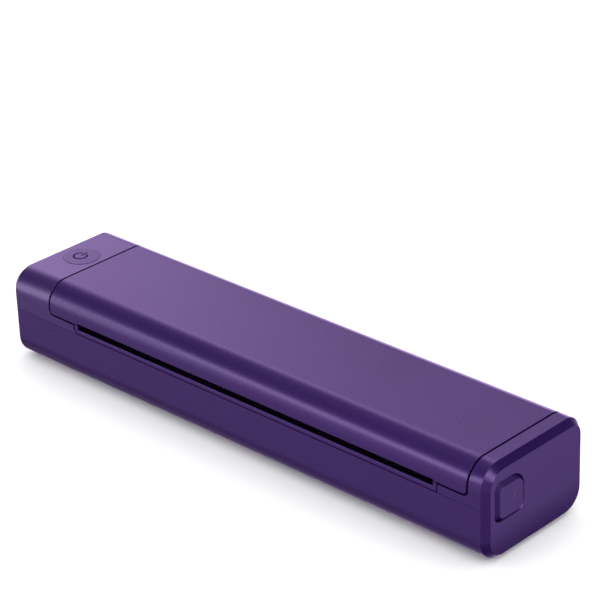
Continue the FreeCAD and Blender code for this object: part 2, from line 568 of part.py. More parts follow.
drv = drv.makeFillet(0.3, [e for e in drv.Edges if abs(e.BoundBox.ZMin - 29.75) < 1e-6 and e.BoundBox.XLength > 100])
parts["head_driver_strip"] = drv
parts["head_connector"] = box(-58.0, -34.0, -3.2, 1.4, 22.2, 24.7).cut(box(-56.4, -35.6, -1.0, 2.0, 22.9, 23.9))
parts["head_pivot_pin_left"] = cx(-105.8, -100.6, YHP, ZHP, R_PIN)
parts["head_pivot_pin_right"] = cx(118.6, 123.8, YHP, ZHP, R_PIN)
parts["head_springs"] = Part.makeCompound([coil(x, SPRING_Y, 12.02, 24.66, 3.1, 0.4, 7) for x in SPRING_X])

# flat ribbon from the head's connector to the main board
T = 0.3


def ribbon(x0, x1, pts, r):
    """Flat strip whose middle line is straight runs joined by round bends."""
    def unit(a, b):
        d = math.hypot(b[0] - a[0], b[1] - a[1])
        return ((b[0] - a[0]) / d, (b[1] - a[1]) / d)

    def off(h):
        line = []
        for i, p in enumerate(pts):
            if i == 0:
                d = unit(pts[0], pts[1])
                line.append(("p", (p[0] - d[1] * h, p[1] + d[0] * h)))
            elif i == len(pts) - 1:
                d = unit(pts[-2], pts[-1])
                line.append(("p", (p[0] - d[1] * h, p[1] + d[0] * h)))
            else:
                d0, d1 = unit(pts[i - 1], p), unit(p, pts[i + 1])
                turn = math.atan2(d0[0] * d1[1] - d0[1] * d1[0], d0[0] * d1[0] + d0[1] * d1[1])
                t = r * math.tan(abs(turn) / 2)
                a = (p[0] - d0[0] * t, p[1] - d0[1] * t)
                s = 1 if turn > 0 else -1
                c = (a[0] - d0[1] * r * s, a[1] + d0[0] * r * s)
                rr = r - h * s
                a0 = math.atan2(a[1] - c[1], a[0] - c[0])
                q = [(c[0] + rr * math.cos(a0 + turn * k), c[1] + rr * math.sin(a0 + turn * k)) for k in (0, 0.5, 1)]
                line.append(("a", q))
        return line

    def chain(line):
        edges, last = [], None
        for kind, g in line:
            first = g if kind == "p" else g[0]
            if last is not None:
                edges.append((last, first))
            if kind == "a":
                edges.append(tuple(g))
                last = g[2]
            else:
                last = g
        return edges

    up, dn = chain(off(T / 2)), chain(off(-T / 2))
    dn = [tuple(reversed(e)) for e in reversed(dn)]
    loop = up + [(up[-1][-1], dn[0][0])] + dn + [(dn[-1][-1], up[0][0])]
    es = []
    for e in loop:
        p = [V(x0, y, z) for y, z in e]
        es.append(Part.LineSegment(p[0], p[1]).toShape() if len(p) == 2 else Part.Arc(p[0], p[1], p[2]).toShape())
    return Part.Face(Part.Wire(es)).extrude(V(x1 - x0, 0, 0))


parts["head_ribbon"] = ribbon(-55.0, -37.0, [(1.8, 23.4), (6.5, 23.4), (6.5, 9.0), (9.6, 7.9)], 1.6)

# ---------------------------------------------------------------------------
# latch: sliding bar with two noses, worked by the release button in the right end
# ---------------------------------------------------------------------------
YLB0, YLB1 = -29.9, -28.1
bar = [box(-116.0, 141.4, YLB0, YLB1, 18.0, 24.2), box(139.6, 141.4, YLB0, -12.0, 18.0, 24.4)]
for tip in (-111.55, 120.65):
    nose = poly_x(tip - 4.2, tip, [(-28.3, 22.4), (-24.0, 22.4), (-24.0, 24.2), (-28.3, 24.2)])
    bev = Part.Face(Part.makePolygon([V(tip, -30, 24.3), V(tip, -30, 23.2), V(tip - 1.1, -30, 24.3), V(tip, -30, 24.3)])).extrude(V(0, 7, 0))
    bar.append(nose.cut(bev.common(box(-200, 200, -28.05, -20, 0, 40))))
bar = union(bar)
parts["latch_bar"] = bar

xt = XE + H_RB
base0 = key_wire(xt - D_RB, 0.0)
top0 = rrect_wire("x", xt, Y_RB - W_RB / 2 + B_RB, Y_RB + W_RB / 2 - S_RB, Z_RB - T_RB / 2 + S_RB, Z_RB + T_RB / 2 - C_RB, (3.0, 3.7, 4.0, 2.8))
frust = Part.makeLoft([base0, top0], True, True)
btn = [frust,
       Part.Face(key_wire(143.7, 0.0)).extrude(V(xt - D_RB - 143.7, 0, 0)),
       Part.Face(key_wire(142.8, 1.3)).extrude(V(0.95, 0, 0)),
       box(141.4, 142.9, -24.0, -12.0, 20.6, 24.2)]
btn = union(btn)
btn = soften(btn, 0.25, lambda e: abs(e.BoundBox.XMin - xt) < 1e-4 and abs(e.BoundBox.XMax - xt) < 1e-4)
btn = btn.cut(rrect("x", xt - 0.12, 149.5, -14.43, -13.69, 25.53, 29.43, 0.36))
parts["release_button"] = btn
parts["latch_spring"] = coil_x(-119.35, -116.05, -28.9, 21.0, 1.0, 0.2, 4)

# ---------------------------------------------------------------------------
# power button, its switch and its board
# ---------------------------------------------------------------------------
pb = cz(X_PB, Y_PB, 43.8, Z_TOP + H_PB, R_PB)
pb = pb.makeFillet(0.12, [e for e in pb.Edges if abs(e.BoundBox.ZMin - Z_TOP - H_PB) < 1e-6 and e.BoundBox.XLength > 5])
pb = union([pb, cz(X_PB, Y_PB, 43.0, 43.9, 9.55), cz(X_PB, Y_PB, 41.9, 43.1, 2.2)])
parts["power_button"] = pb
parts["switch_plunger"] = cz(X_PB, Y_PB, 41.0, 41.9, 1.7)
parts["tact_switch"] = box(X_PB - 3.1, X_PB + 3.1, -3.1, 3.1, 37.7, 41.2).cut(cz(X_PB, Y_PB, 40.1, 42.0, 1.8))
board = rrect("z", 36.5, 37.7, -141.0, -124.5, -15.0, 15.0, 1.5)
parts["button_board"] = board.cut([cz(x, y, 36, 38, 1.1) for x, y in BTN_SCREWS])
parts["button_board_screws"] = Part.makeCompound([
    union([cz(x, y, 35.3, 36.5, 1.8), cz(x, y, 36.4, 41.6, 0.9)]).cut(box(x - 1.2, x + 1.2, y - 0.25, y + 0.25, 35.0, 35.8))
    for x, y in BTN_SCREWS])

# ---------------------------------------------------------------------------
# main board, its parts, charging inlet, battery, paper sensor
# ---------------------------------------------------------------------------
mb = rrect("z", 5.0, 6.6, -140.0, -20.0, 5.5, 23.5, 1.0)
parts["main_board"] = mb.cut([cz(x, y, 4, 7, 1.0) for x, y in BOARD_SCREWS] + [cz(-60.0, 20.0, 4, 7, 3.2)])
parts["main_board_screws"] = Part.makeCompound([
    union([cz(x, y, 6.6, 7.8, 1.7), cz(x, y, 3.2, 6.7, 0.9)]).cut(box(x - 1.1, x + 1.1, y - 0.25, y + 0.25, 7.3, 8.0))
    for x, y in BOARD_SCREWS])
comps = [box(-112.0, -102.0, 9.0, 19.0, 6.6, 7.8), box(-96.0, -88.0, 11.0, 17.0, 6.6, 7.6),
         box(-82.0, -75.0, 9.0, 16.0, 6.6, 9.6), box(-72.0, -66.0, 17.0, 22.0, 6.6, 8.0),
         cz(-126.0, 19.5, 6.6, 12.6, 2.5), cz(-119.0, 19.5, 6.6, 12.6, 2.5),
         box(-57.0, -35.0, 9.7, 13.6, 6.6, 8.8), box(-32.0, -27.5, 13.0, 19.0, 6.6, 11.2),
         box(-98.0, -93.0, 6.5, 9.5, 6.6, 10.2), box(-130.7, -126.3, 8.0, 11.0, 6.6, 9.6),
         box(-130.7, -126.3, 8.0, 11.0, 34.0, 36.5)]
parts["board_components"] = Part.makeCompound(comps)
usb = rrect("x", -145.4, -138.0, Y_USB - 4.47, Y_USB + 4.47, Z_USB - 1.63, Z_USB + 1.63, 1.6)
usb = usb.cut(rrect("x", -146.0, -139.0, Y_USB - 4.17, Y_USB + 4.17, Z_USB - 1.33, Z_USB + 1.33, 1.3))
usb = union([usb, box(-144.4, -138.5, Y_USB - 3.3, Y_USB + 3.3, Z_USB - 0.35, Z_USB + 0.35),
             box(-139.9, -138.2, Y_USB - 3.0, Y_USB + 3.0, 6.6, Z_USB)])
parts["usb_c_receptacle"] = usb

YB, ZB, R_CELL = 4.5, 12.0, 9.0
parts["battery_cells"] = Part.makeCompound([
    union([cx(a + 0.8, b, YB, ZB, R_CELL), cx(a, a + 1.0, YB, ZB, 3.0)]) for a, b in ((-14.0, 51.0), (53.0, 118.0))])
yc0, yc1 = YB - 10.0, YB + 10.0
cr = [box(-16.0, 120.0, yc0, yc0 + 1.2, Z_FLOOR, 8.0), box(-16.0, 120.0, yc1 - 1.2, yc1, Z_FLOOR, 8.0)]
for x in (-9.0, 20.0, 45.0, 58.0, 86.0, 112.0):
    cr.append(box(x - 2.5, x + 2.5, yc0 + 0.5, yc1 - 0.5, Z_FLOOR, 8.0))
cr += [box(-16.0, -14.4, yc0, yc1, Z_FLOOR, 14.0), box(118.4, 120.0, yc0, yc1, Z_FLOOR, 14.0)]
parts["battery_cradle"] = union(cr).cut(cx(-14.3, 118.3, YB, ZB, R_CELL + 0.05))
sen = union([box(-3.5, 3.5, 12.5, 17.5, 22.5, 27.0), box(-5.5, 5.5, 12.5, 17.5, 23.4, 24.9)])
parts["paper_sensor"] = sen.cut(cz(0, 15.0, 26.4, 28.0, 1.3))

# leads: motor and button board to the main board, battery to its socket
parts["motor_lead"] = Part.makeCompound([
    lead([(x, YM + 11.5, 16.0), (x, 8.0, 16.0), (x, 8.0, 10.2)], 0.45, [3.6]) for x in (-97.0, -96.0, -95.0, -94.0)])
parts["battery_lead"] = Part.makeCompound([
    lead([(-27.5, 15.0, 9.4), (-23.0, 15.0, 9.4), (-18.5, 6.5, 17.2), (-13.2, 6.5, 17.2)], 0.65, [2.9, 2.9]),
    lead([(-27.5, 17.0, 9.4), (-23.0, 17.0, 9.4), (-18.5, 9.5, 15.0), (-13.2, 9.5, 15.0)], 0.65, [3.1, 3.1])])
parts["button_lead"] = Part.makeCompound([
    lead([(x, 9.5, 34.0), (x, 9.5, 28.5), (x, 5.5, 21.5), (x, 9.5, 14.5), (x, 9.5, 9.6)], 0.4, [6.0, 5.5, 6.0])
    for x in (-129.5, -128.5, -127.5)])

# ---------------------------------------------------------------------------
os.makedirs("parts", exist_ok=True)
for name in sorted(os.listdir("parts")):
    if name.endswith(".step") and name[:-5] not in parts:
        os.remove(os.path.join("parts", name))
for name, s in parts.items():
    s.translate(V(-H_RB / 2, 0, 0))   # centres the bounding box, since the release button stands out on the right
    ok = s.isValid()
    print("%-24s solids %d  valid %s  volume %.1f" % (name, len(s.Solids), ok, s.Volume))
    if len(s.Solids) == 1:
        s = s.Solids[0]
    s.exportStep(os.path.join("parts", name + ".step"))
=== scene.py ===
import bpy
import bmesh
import math
from mathutils import Matrix, Vector


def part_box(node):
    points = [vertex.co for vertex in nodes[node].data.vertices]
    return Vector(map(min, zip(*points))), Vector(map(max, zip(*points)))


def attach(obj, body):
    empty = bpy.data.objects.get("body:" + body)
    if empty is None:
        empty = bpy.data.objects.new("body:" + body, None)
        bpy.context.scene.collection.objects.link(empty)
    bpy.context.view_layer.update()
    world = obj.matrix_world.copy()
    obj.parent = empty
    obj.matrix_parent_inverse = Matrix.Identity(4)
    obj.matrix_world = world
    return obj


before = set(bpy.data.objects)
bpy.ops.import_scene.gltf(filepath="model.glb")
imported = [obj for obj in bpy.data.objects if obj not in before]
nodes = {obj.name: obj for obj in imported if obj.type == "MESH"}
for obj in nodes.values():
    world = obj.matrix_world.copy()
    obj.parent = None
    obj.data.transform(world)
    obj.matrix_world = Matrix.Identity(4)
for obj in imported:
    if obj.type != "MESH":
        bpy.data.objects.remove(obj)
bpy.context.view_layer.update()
scene = bpy.context.scene
MM = 0.001


# ---------------------------------------------------------------------------
# shader helpers
# ---------------------------------------------------------------------------
class Mat:
    """A material with a Principled surface and short calls for its nodes."""

    def __init__(self, name):
        self.m = bpy.data.materials.new(name)
        self.m.use_nodes = True
        self.t = self.m.node_tree
        self.t.nodes.clear()
        self.out = self.t.nodes.new("ShaderNodeOutputMaterial")
        self.b = self.t.nodes.new("ShaderNodeBsdfPrincipled")
        self.t.links.new(self.b.outputs["BSDF"], self.out.inputs["Surface"])
        self.tc = self.t.nodes.new("ShaderNodeTexCoord")
        self.obj = self.tc.outputs["Object"]

    def put(self, name, value):
        self.b.inputs[name].default_value = value

    def node(self, kind, **props):
        n = self.t.nodes.new(kind)
        for k, v in props.items():
            setattr(n, k, v)
        return n

    def link(self, a, b):
        self.t.links.new(a, b)

    def stretch(self, scale, rot=(0, 0, 0)):
        n = self.node("ShaderNodeMapping")
        n.inputs["Scale"].default_value = scale
        n.inputs["Rotation"].default_value = rot
        self.link(self.obj, n.inputs["Vector"])
        return n.outputs["Vector"]

    def noise(self, scale, detail=2.0, rough=0.5, vec=None):
        n = self.node("ShaderNodeTexNoise")
        n.inputs["Scale"].default_value = scale
        n.inputs["Detail"].default_value = detail
        n.inputs["Roughness"].default_value = rough
        self.link(vec or self.obj, n.inputs["Vector"])
        return n.outputs["Fac"]

    def ranged(self, src, a, b, c, d, smooth=False):
        n = self.node("ShaderNodeMapRange")
        n.interpolation_type = "SMOOTHSTEP" if smooth else "LINEAR"
        for i, v in zip((1, 2, 3, 4), (a, b, c, d)):
            n.inputs[i].default_value = v
        self.link(src, n.inputs[0])
        return n.outputs[0]

    def math(self, op, a, b=None):
        n = self.node("ShaderNodeMath", operation=op)
        for i, v in enumerate((a, b)):
            if v is None:
                continue
            if isinstance(v, (int, float)):
                n.inputs[i].default_value = v
            else:
                self.link(v, n.inputs[i])
        return n.outputs[0]

    def mix(self, fac, a, b, blend="MIX"):
        n = self.node("ShaderNodeMix", data_type="RGBA", blend_type=blend)
        for s, v in ((n.inputs[0], fac), (n.inputs[6], a), (n.inputs[7], b)):
            if isinstance(v, (int, float)):
                s.default_value = v
            elif isinstance(v, tuple):
                s.default_value = (*v, 1.0)
            else:
                self.link(v, s)
        return n.outputs[2]

    def xyz(self):
        n = self.node("ShaderNodeSeparateXYZ")
        self.link(self.obj, n.inputs[0])
        return n.outputs

    def band(self, src, lo, hi, soft):
        """1 between lo and hi, fading over soft outside."""
        up = self.ranged(src, lo - soft, lo + soft, 0.0, 1.0)
        dn = self.ranged(src, hi - soft, hi + soft, 1.0, 0.0)
        return self.math("MULTIPLY", up, dn)

    def colour(self, src):
        self.link(src, self.b.inputs["Base Color"])

    def rough(self, src):
        self.link(src, self.b.inputs["Roughness"])

    def bump(self, height, strength, distance):
        n = self.node("ShaderNodeBump")
        n.inputs["Strength"].default_value = strength
        n.inputs["Distance"].default_value = distance
        self.link(height, n.inputs["Height"])
        self.link(n.outputs["Normal"], self.b.inputs["Normal"])


def lin(r, g, b):
    """Linear colour from 0-255 display values."""
    def f(c):
        c /= 255.0
        return c / 12.92 if c <= 0.04045 else ((c + 0.055) / 1.055) ** 2.4
    return (f(r), f(g), f(b))


def satin(name, base, rough=(0.26, 0.30), tint=(0.68, 0.48, 1.0), grain=3600.0, bump=0.05, tone=0.08, gloss=0.5):
    """Moulded plastic with a fine spark-eroded grain and a faint unevenness of tone and sheen."""
    k = Mat(name)
    big = k.ranged(k.noise(22.0, 3.0, 0.55), 0.3, 0.7, 0.0, 1.0)
    fine = k.noise(grain, 3.0, 0.6)
    speck = k.ranged(fine, 0.30, 0.70, 0.0, 1.0)
    lo = tuple(c * (1 - tone) for c in base)
    hi = tuple(min(1.0, c * (1 + tone)) for c in base)
    col = k.mix(big, lo, hi)
    col = k.mix(k.math("MULTIPLY", speck, 0.10), col, tuple(min(1.0, c * 1.8) for c in base))
    k.colour(col)
    mid = k.noise(420.0, 2.0, 0.5)
    k.rough(k.ranged(k.math("ADD", k.math("MULTIPLY", mid, 0.6), k.math("MULTIPLY", big, 0.4)), 0.3, 0.7, rough[0], rough[1]))
    k.bump(fine, bump, 0.00004)
    k.put("Specular Tint", (*tint, 1.0))
    k.put("IOR", 1.5)
    k.put("Specular IOR Level", gloss)
    return k.m


# ---------------------------------------------------------------------------
# materials
# ---------------------------------------------------------------------------
VIOLET = (0.0115, 0.0026, 0.0450)
shell = satin("satin_violet_shell", VIOLET)
cover_m = satin("satin_violet_cover", VIOLET)
# a copy of the shell with a paler, stronger sheen: painted sheen for the brighter light the left block catches
painted_sheen_block_m = satin("satin_violet_block_painted_sheen", VIOLET, tint=(0.76, 0.60, 1.0), gloss=0.66)
# near-black with almost no gloss: the black of the paper guide, and painted shade inside the slot
slot_shade_m = satin("slot_black_and_painted_shade", (0.0022, 0.0020, 0.0022), rough=(0.75, 0.85), tint=(1.0, 1.0, 1.0), grain=2600.0, bump=0.1, tone=0.2, gloss=0.03)
# a lighter violet than the button, for the top of its small rib
rib_mark_m = satin("lighter_rib_mark", (0.060, 0.040, 0.110), rough=(0.40, 0.50), tint=(0.9, 0.8, 1.0))
keys = satin("satin_violet_button", VIOLET, rough=(0.27, 0.33))
black = satin("black_moulding", (0.012, 0.012, 0.013), rough=(0.42, 0.52), tint=(1.0, 1.0, 1.0), grain=2600.0, bump=0.18, tone=0.2)


def metal(name, base, rough, along=(1, 0, 0), streak=900.0, contrast=0.12):
    """Drawn or ground metal: fine streaks along one axis."""
    k = Mat(name)
    sc = tuple(12.0 if a else streak for a in along)
    line = k.noise(1.0, 3.0, 0.6, k.stretch(sc))
    cloud = k.noise(160.0, 3.0, 0.5)
    col = k.mix(k.ranged(line, 0.3, 0.7, 0.0, 1.0), tuple(c * (1 - contrast) for c in base), tuple(min(1.0, c * (1 + contrast)) for c in base))
    k.colour(col)
    k.rough(k.ranged(k.math("ADD", k.math("MULTIPLY", line, 0.6), k.math("MULTIPLY", cloud, 0.4)), 0.3, 0.7, rough - 0.07, rough + 0.09))
    k.bump(line, 0.12, 0.00003)
    k.put("Metallic", 1.0)
    return k.m


steel = metal("ground_steel", (0.56, 0.56, 0.57), 0.28)
steel_z = metal("drawn_steel", (0.50, 0.50, 0.51), 0.32, along=(0, 0, 1))
can = metal("motor_can", (0.48, 0.48, 0.49), 0.34)
alu = metal("extruded_aluminium", (0.66, 0.67, 0.68), 0.36)
bronze = metal("sintered_bronze", (0.50, 0.33, 0.15), 0.40)
brass = metal("cut_brass", (0.62, 0.45, 0.18), 0.30)
zinc = metal("black_zinc", (0.055, 0.055, 0.06), 0.38, along=(0, 0, 1), contrast=0.25)

# acetal gears: milky, a little waxy
k = Mat("natural_acetal")
k.colour(k.mix(k.ranged(k.noise(300.0, 3.0), 0.3, 0.7, 0.0, 1.0), (0.66, 0.63, 0.54), (0.74, 0.71, 0.62)))
k.rough(k.ranged(k.noise(1500.0, 2.0), 0.3, 0.7, 0.30, 0.42))
k.bump(k.noise(5200.0, 2.0), 0.06, 0.00003)
acetal = k.m

# platen rubber: dark, with the fine rings left by grinding
k = Mat("ground_rubber")
ring = k.noise(1.0, 2.0, 0.6, k.stretch((9000.0, 60.0, 60.0)))
k.colour(k.mix(k.ranged(ring, 0.3, 0.7, 0.0, 1.0), (0.010, 0.010, 0.011), (0.022, 0.022, 0.023)))
k.rough(k.ranged(k.noise(900.0, 3.0), 0.3, 0.7, 0.55, 0.72))
k.bump(ring, 0.25, 0.00003)
rubber = k.m

k = Mat("foot_rubber")
dust = k.ranged(k.noise(700.0, 4.0, 0.7), 0.45, 0.75, 0.0, 1.0)
k.colour(k.mix(dust, (0.012, 0.012, 0.012), (0.03, 0.03, 0.031)))
k.rough(k.ranged(dust, 0.0, 1.0, 0.7, 0.85))
k.bump(k.noise(2600.0, 3.0), 0.3, 0.00005)
foot_m = k.m

# alumina with the amber glaze ridge and the fan of fine conductors
k = Mat("glazed_alumina")
x, y, z = k.xyz()
amber = k.band(y, -15.1 * MM, -12.9 * MM, 0.15 * MM)
wave = k.node("ShaderNodeTexWave", wave_type="BANDS", bands_direction="X", wave_profile="SIN")
wave.inputs["Scale"].default_value = 900.0
wave.inputs["Distortion"].default_value = 0.0
k.link(k.obj, wave.inputs["Vector"])
lines = k.math("MULTIPLY", k.ranged(wave.outputs["Fac"], 0.55, 0.75, 0.0, 1.0), k.band(y, -19.2 * MM, -10.9 * MM, 0.1 * MM))
c0 = k.mix(k.ranged(k.noise(500.0, 3.0), 0.3, 0.7, 0.0, 1.0), (0.60, 0.59, 0.55), (0.68, 0.67, 0.63))
c1 = k.mix(k.math("MULTIPLY", lines, 0.55), c0, (0.45, 0.36, 0.16))
k.colour(k.mix(amber, c1, (0.10, 0.055, 0.018)))
k.rough(k.ranged(amber, 0.0, 1.0, 0.34, 0.10))
k.bump(k.noise(3000.0, 2.0), 0.05, 0.00002)
ceramic = k.m

# solder mask over copper: traces as stepped cells
k = Mat("solder_mask")
vor = k.node("ShaderNodeTexVoronoi", feature="DISTANCE_TO_EDGE", distance="MANHATTAN")
vor.inputs["Scale"].default_value = 330.0
k.link(k.obj, vor.inputs["Vector"])
trace = k.ranged(vor.outputs["Distance"], 0.04, 0.09, 1.0, 0.0)
ground = k.mix(k.ranged(k.noise(120.0, 2.0), 0.3, 0.7, 0.0, 1.0), (0.006, 0.085, 0.034), (0.010, 0.110, 0.045))
k.colour(k.mix(k.math("MULTIPLY", trace, 0.7), ground, (0.030, 0.200, 0.085)))
k.rough(k.ranged(k.noise(900.0, 2.0), 0.3, 0.7, 0.22, 0.32))
k.bump(trace, 0.25, 0.00004)
pcb = k.m

k = Mat("epoxy_package")
k.colour(k.mix(k.ranged(k.noise(2600.0, 3.0), 0.3, 0.7, 0.0, 1.0), (0.010, 0.010, 0.011), (0.022, 0.022, 0.024)))
k.rough(k.ranged(k.noise(900.0, 2.0), 0.3, 0.7, 0.40, 0.55))
k.bump(k.noise(6000.0, 2.0), 0.2, 0.00003)
epoxy = k.m

k = Mat("ivory_housing")
k.colour(k.mix(k.ranged(k.noise(400.0, 3.0), 0.3, 0.7, 0.0, 1.0), (0.56, 0.52, 0.42), (0.64, 0.60, 0.50)))
k.rough(k.ranged(k.noise(1500.0, 2.0), 0.3, 0.7, 0.38, 0.50))
k.bump(k.noise(5000.0, 2.0), 0.1, 0.00003)
ivory = k.m

k = Mat("shrink_wrap")
x, y, z = k.xyz()
wr = k.noise(1.0, 3.0, 0.6, k.stretch((40.0, 260.0, 260.0)))
k.colour(k.mix(k.ranged(wr, 0.3, 0.7, 0.0, 1.0), (0.010, 0.075, 0.21), (0.014, 0.100, 0.27)))
k.rough(k.ranged(wr, 0.3, 0.7, 0.20, 0.34))
k.bump(wr, 0.35, 0.00012)
wrap = k.m

# flat cable: white film with the flat conductors showing through
k = Mat("flat_cable_film")
wave = k.node("ShaderNodeTexWave", wave_type="BANDS", bands_direction="X", wave_profile="SIN")
wave.inputs["Scale"].default_value = 314.0
k.link(k.obj, wave.inputs["Vector"])
film = k.mix(k.ranged(k.noise(220.0, 2.0), 0.3, 0.7, 0.0, 1.0), (0.70, 0.71, 0.72), (0.78, 0.79, 0.80))
k.colour(k.mix(k.ranged(wave.outputs["Fac"], 0.45, 0.6, 0.0, 0.55), film, (0.46, 0.44, 0.42)))
k.rough(k.ranged(k.noise(800.0, 2.0), 0.3, 0.7, 0.28, 0.40))
k.bump(wave.outputs["Fac"], 0.2, 0.00005)
film_m = k.m


def lead_material(name, colours, edges, axis):
    """Soft insulation; each wire of the lead has its own colour by its place across the lead."""
    k = Mat(name)
    pos = k.xyz()[axis]
    col = colours[0]
    for c, e in zip(colours[1:], edges):
        col = k.mix(k.ranged(pos, e - 1e-5, e + 1e-5, 0.0, 1.0), col, c)
    spot = k.ranged(k.noise(1200.0, 3.0), 0.35, 0.7, 0.0, 0.25)
    k.colour(k.mix(spot, col, (0.08, 0.07, 0.07)))
    k.rough(k.ranged(k.noise(900.0, 2.0), 0.3, 0.7, 0.42, 0.56))
    k.bump(k.noise(1800.0, 2.0), 0.15, 0.00004)
    return k.m


RED, DARK, BLUE, YELLOW, WHITE = (0.42, 0.02, 0.015), (0.012, 0.012, 0.013), (0.02, 0.07, 0.34), (0.60, 0.42, 0.03), (0.62, 0.62, 0.60)
motor_lead_m = lead_material("motor_lead_insulation", [RED, YELLOW, BLUE, WHITE], [(-96.5 - 0.075) * MM, (-95.5 - 0.075) * MM, (-94.5 - 0.075) * MM], 0)
button_lead_m = lead_material("button_lead_insulation", [WHITE, RED, DARK], [(-129.0 - 0.075) * MM, (-128.0 - 0.075) * MM], 0)
# the two battery wires part along the line that runs between them
k = Mat("battery_lead_insulation")
x, y, z = k.xyz()
side = k.math("SUBTRACT", y, k.ranged(x, -24.5 * MM, -18.5 * MM, 16.0 * MM, 8.0 * MM))
k.colour(k.mix(k.ranged(side, -1e-5, 1e-5, 0.0, 1.0), RED, DARK))
k.rough(k.ranged(k.noise(900.0, 2.0), 0.3, 0.7, 0.42, 0.56))
k.bump(k.noise(1800.0, 2.0), 0.15, 0.00004)
battery_lead_m = k.m

# printed symbol on the power button
k = Mat("symbol_ink")
k.colour(k.mix(k.ranged(k.noise(3000.0, 3.0), 0.35, 0.7, 0.0, 1.0), lin(20, 7, 40), lin(26, 10, 48)))
k.rough(k.ranged(k.noise(1500.0, 2.0), 0.3, 0.7, 0.55, 0.70))
k.put("Specular Tint", (0.68, 0.48, 1.0, 1.0))
k.put("Specular IOR Level", 0.08)
ink = k.m

WEAR = {
    "lower_casing": shell, "upper_frame": shell, "left_end_cap": shell, "right_end_cap": shell,
    "paper_exit_bezel": shell, "top_cover": cover_m, "release_button": keys, "power_button": keys,
    "platen_frame": black, "latch_bar": black, "battery_cradle": black,
    "cover_screws": zinc, "casing_screws": zinc, "motor_screws": zinc, "button_board_screws": zinc, "main_board_screws": zinc,
    "hinge_pin_left": steel, "hinge_pin_right": steel, "platen_shaft": steel, "platen_clip": steel_z,
    "platen_rubber": rubber, "rubber_feet": foot_m,
    "platen_bushing_left": bronze, "platen_bushing_right": bronze, "motor_pinion": brass,
    "platen_gear": acetal, "reduction_gear": acetal,
    "motor_bracket": steel_z, "stepper_motor": can, "motor_shaft": steel, "gear_stud": steel, "gear_clip": steel_z,
    "head_heat_sink": alu, "print_head_ceramic": ceramic, "head_driver_strip": epoxy, "head_connector": ivory,
    "head_pivot_pin_left": steel, "head_pivot_pin_right": steel, "head_springs": steel_z, "latch_spring": steel,
    "head_ribbon": film_m, "switch_plunger": epoxy, "tact_switch": can, "button_board": pcb, "main_board": pcb,
    "board_components": epoxy, "usb_c_receptacle": steel, "battery_cells": wrap, "paper_sensor": epoxy,
    "motor_lead": motor_lead_m, "battery_lead": battery_lead_m, "button_lead": button_lead_m,
}

SKINS = ("lower_casing", "upper_frame", "left_end_cap", "right_end_cap", "paper_exit_bezel", "top_cover", "release_button", "power_button")
for name, o in nodes.items():
    o.data.materials.clear()
    o.data.materials.append(WEAR[name])
    for p in o.data.polygons:
        p.use_smooth = True
        p.material_index = 0
    w = o.modifiers.new("weld", "WELD")
    w.merge_threshold = 1e-6
    e = o.modifiers.new("split", "EDGE_SPLIT")
    e.split_angle = math.radians(24.0)
    e.use_edge_sharp = False
    n = o.modifiers.new("normals", "WEIGHTED_NORMAL")
    n.mode = "FACE_AREA"
    n.weight = 80
    n.keep_sharp = True


def paint(name, material, pick):
    """A second material on the faces of a node whose corners (in mm) and normal pick accepts."""
    o = nodes[name]
    o.data.materials.append(material)
    slot = len(o.data.materials) - 1
    at = [tuple(c / MM for c in o.matrix_world @ v.co) for v in o.data.vertices]
    for p in o.data.polygons:
        if pick([at[i] for i in p.vertices], p.normal):
            p.material_index = slot


def within(x0, x1, y0, y1, z0, z1):
    return lambda pts, n: all(x0 <= x <= x1 and y0 <= y <= y1 and z0 <= z <= z1 for x, y, z in pts)


def round_can(cx, cy, r):
    return lambda pts, n: all(math.hypot(x - cx, y - cy) <= r + 0.05 for x, y, z in pts)


SX = -0.075   # the model's x offset in mm
# the left block of the upper frame takes the copy with the painted sheen
paint("upper_frame", painted_sheen_block_m, within(-150, -102, -40, 24.0, 26.9, 60))
# the violet bezel's own faces inside the slot get the near-black, almost glossless paint: painted shade in the
# slot as well as the black of the paper guide
paint("paper_exit_bezel", slot_shade_m, within(-100.4 + SX, 118.7 + SX, -31.87, -29, 29.2, 33))
# the top of the small rib on the release button is painted a lighter violet than the button
paint("release_button", rib_mark_m, within(147.15 + SX, 147.3 + SX, -14.5, -13.6, 25.4, 29.5))
for b in ((-98, -93, 6.5, 9.5, 6.6, 10.2), (-130.7, -126.3, 8, 11, 6.6, 9.6), (-130.7, -126.3, 8, 11, 34, 36.5),
          (-32, -27.5, 13, 19, 6.6, 11.2), (-57, -35, 9.7, 13.6, 6.6, 8.8)):
    paint("board_components", ivory, within(b[0] + SX - 0.05, b[1] + SX + 0.05, b[2] - 0.05, b[3] + 0.05, b[4] - 0.05, b[5] + 0.05))
for c in (-126, -119):
    paint("board_components", alu, round_can(c + SX, 19.5, 2.5))

